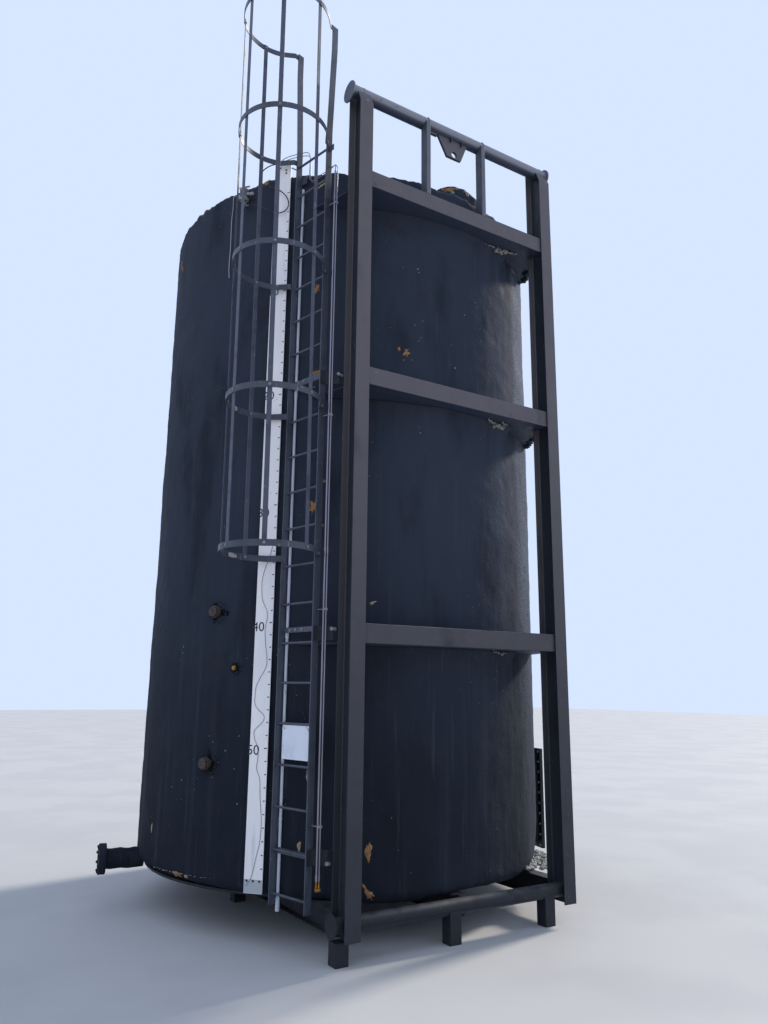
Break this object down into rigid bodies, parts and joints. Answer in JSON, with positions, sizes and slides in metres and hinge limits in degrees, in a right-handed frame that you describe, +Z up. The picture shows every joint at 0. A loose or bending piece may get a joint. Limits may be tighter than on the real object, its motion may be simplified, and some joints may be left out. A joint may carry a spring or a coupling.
{
  "type": "vertical storage tank",
  "caption": "Foam-clad vertical steel storage tank on a skid frame with crossbars, caged ladder, gauge board and capped nozzles",
  "frame": {"origin": "on the tank's axis at ground level, under the floor", "axes": "+Z up; the skid frame stands on the -Y side, with its rails left and right along X; the ladder is on the -X side"},
  "size_m": [4.2626, 3.951, 7.695],
  "materials": {
    "foam": "rough sprayed foam with a black coating",
    "roof": "rough sprayed foam with a black coating",
    "steel": "worn dark paint",
    "dark": "worn dark paint",
    "cage": "dark paint",
    "board": "white",
    "conduit": "white",
    "tube": "bright tube",
    "sign": "white",
    "cap": "dark brown",
    "cable": "black",
    "rope": "pale grey"
  },
  "bodies": {
    "root": {"wall_segment_1": "foam", "wall_segment_2": "foam", "wall_segment_3": "foam", "wall_segment_4": "foam", "wall_segment_5": "foam", "wall_segment_6": "foam", "wall_segment_7": "foam", "wall_segment_8": "foam", "roof": "roof", "floor": "dark", "roof_hatch": "roof", "skid_rail_left": "steel", "skid_rail_right": "steel", "top_pipe_with_padeye": "steel", "bottom_pipe": "steel", "crossbar_top": "steel", "crossbar_middle": "steel", "crossbar_low": "steel", "head_post_left": "dark", "head_post_right": "dark", "base_beam_left": "dark", "base_beam_middle": "dark", "base_beam_right": "dark", "stub_leg_left": "dark", "stub_leg_middle": "dark", "stub_leg_right": "dark", "ladder": "cage", "cage_hoop_1": "cage", "cage_hoop_2": "cage", "cage_hoop_3": "cage", "cage_hoop_4": "cage", "cage_hoop_5": "cage", "cage_bar_1": "cage", "cage_bar_2": "cage", "cage_bar_3": "cage", "cage_bar_4": "cage", "cage_bar_5": "cage", "ladder_bracket_1": "dark", "ladder_bracket_2": "dark", "ladder_bracket_3": "dark", "gauge_board": "board", "conduit": "conduit", "twin_tubes": "tube", "sign_plate": "sign", "capped_nozzle_upper": "cap", "capped_nozzle_lower": "cap", "small_fitting": "cap", "flanged_nozzle": "foam", "cleanout_neck": "dark", "cleanout_cover": "dark", "wall_valve": "tube", "hanging_cord": "rope", "cable_loop": "cable", "gauge_wire": "cable"}
  },
  "joints": []
}
